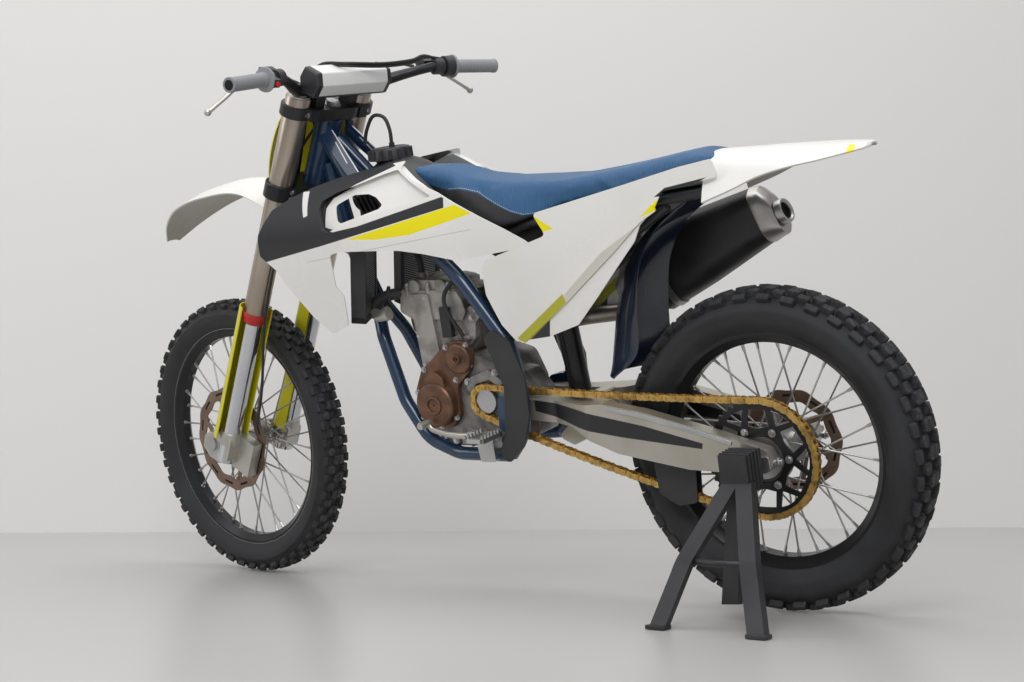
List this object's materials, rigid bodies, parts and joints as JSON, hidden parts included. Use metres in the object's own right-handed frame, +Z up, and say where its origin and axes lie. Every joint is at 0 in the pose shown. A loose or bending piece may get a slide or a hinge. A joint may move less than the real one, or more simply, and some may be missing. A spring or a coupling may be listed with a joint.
{
  "type": "dirt bike",
  "caption": "Off-road motorcycle leaning on a three-legged axle stand, with steering that turns and wheels that spin.",
  "frame": {"origin": "centre of the whole object's box, on the floor", "axes": "+X forward along the bike, +Y to its left, +Z up from the floor"},
  "size_m": [2.1652, 0.812, 1.2382],
  "materials": {
    "white_plastic": "gloss white moulded plastic",
    "black_plastic": "satin black moulded plastic",
    "dark_gloss": "dark blue-black gloss plastic",
    "yellow_plastic": "bright yellow moulded plastic",
    "frame_blue": "dark blue powder coat",
    "seat_cover": "blue ribbed gripping cover",
    "alloy": "satin cast aluminium",
    "engine_alloy": "grey cast aluminium",
    "black_alloy": "black anodised aluminium",
    "fork_brown": "satin hard anodised tube",
    "chrome": "polished chrome",
    "bronze": "bronze-brown anodised cover",
    "disc_steel": "heat-tinted brake disc",
    "steel": "bright steel",
    "chain_gold": "gold plated chain",
    "tyre_rubber": "black knobbly tyre rubber",
    "grip_rubber": "grey grip rubber",
    "exhaust_black": "black coated silencer",
    "exhaust_steel": "brushed steel",
    "radiator": "bare radiator core",
    "hose_rubber": "black rubber hose"
  },
  "bodies": {
    "chassis": {"head_tube": "frame_blue", "frame_spar_left": "frame_blue", "frame_spar_right": "frame_blue", "down_tube": "frame_blue", "cradle_left": "frame_blue", "cradle_right": "frame_blue", "subframe_left": "black_plastic", "subframe_right": "black_plastic", "frame_guard_left": "black_plastic", "frame_guard_right": "black_plastic", "engine_cases": "engine_alloy", "cylinder": "engine_alloy", "ignition_cover": "bronze", "clutch_cover": "engine_alloy", "front_sprocket": "steel", "exhaust_header": "exhaust_steel", "intake": "hose_rubber", "silencer": "exhaust_black", "silencer_cap": "exhaust_steel", "radiator_left": "radiator", "radiator_right": "radiator", "shroud_left": "white_plastic", "shroud_right": "white_plastic", "fuel_tank": "black_plastic", "tank_cap": "black_plastic", "seat": "seat_cover", "side_cover_left": "white_plastic", "side_cover_right": "white_plastic", "rear_fender": "white_plastic", "inner_guard": "dark_gloss", "airbox": "black_plastic", "swingarm": "alloy", "shock": "black_alloy", "linkage": "alloy", "rear_axle": "steel", "swingarm_pivot": "steel", "chain_guide": "black_plastic", "chain": "chain_gold", "stand": "black_plastic"},
    "rear_wheel": {"rear_tyre": "tyre_rubber", "rear_rim": "black_alloy", "rear_disc": "disc_steel", "rear_sprocket": "black_alloy"},
    "steering": {"lower_clamp": "black_alloy", "upper_clamp": "black_alloy", "fork_outer_tubes": "fork_brown", "fork_inner_tubes": "chrome", "fork_guards": "yellow_plastic", "front_axle": "steel", "handlebar": "black_alloy", "grips": "grip_rubber", "bar_pad": "black_plastic", "clutch_lever": "alloy", "brake_lever": "alloy", "front_fender": "white_plastic", "number_plate": "yellow_plastic", "front_caliper": "alloy"},
    "front_wheel": {"front_tyre": "tyre_rubber", "front_rim": "black_alloy", "front_disc": "disc_steel"}
  },
  "joints": [
    {"name": "steering_turn", "type": "hinge", "parent": "chassis", "child": "steering", "pos_m": [0.38157, -0.05655, 0.93942], "axis": [-0.4388, 0.206, 0.8747], "range_deg": [-30.76, 49.24]},
    {"name": "front_wheel_spin", "type": "hinge", "parent": "steering", "child": "front_wheel", "pos_m": [0.74177, -0.20642, 0.34036], "axis": [0.144, 0.9769, -0.1578], "continuous": true},
    {"name": "rear_wheel_spin", "type": "hinge", "parent": "chassis", "child": "rear_wheel", "pos_m": [-0.74262, -0.19915, 0.3358], "axis": [-0.0003, 0.9733, -0.2294], "continuous": true}
  ]
}
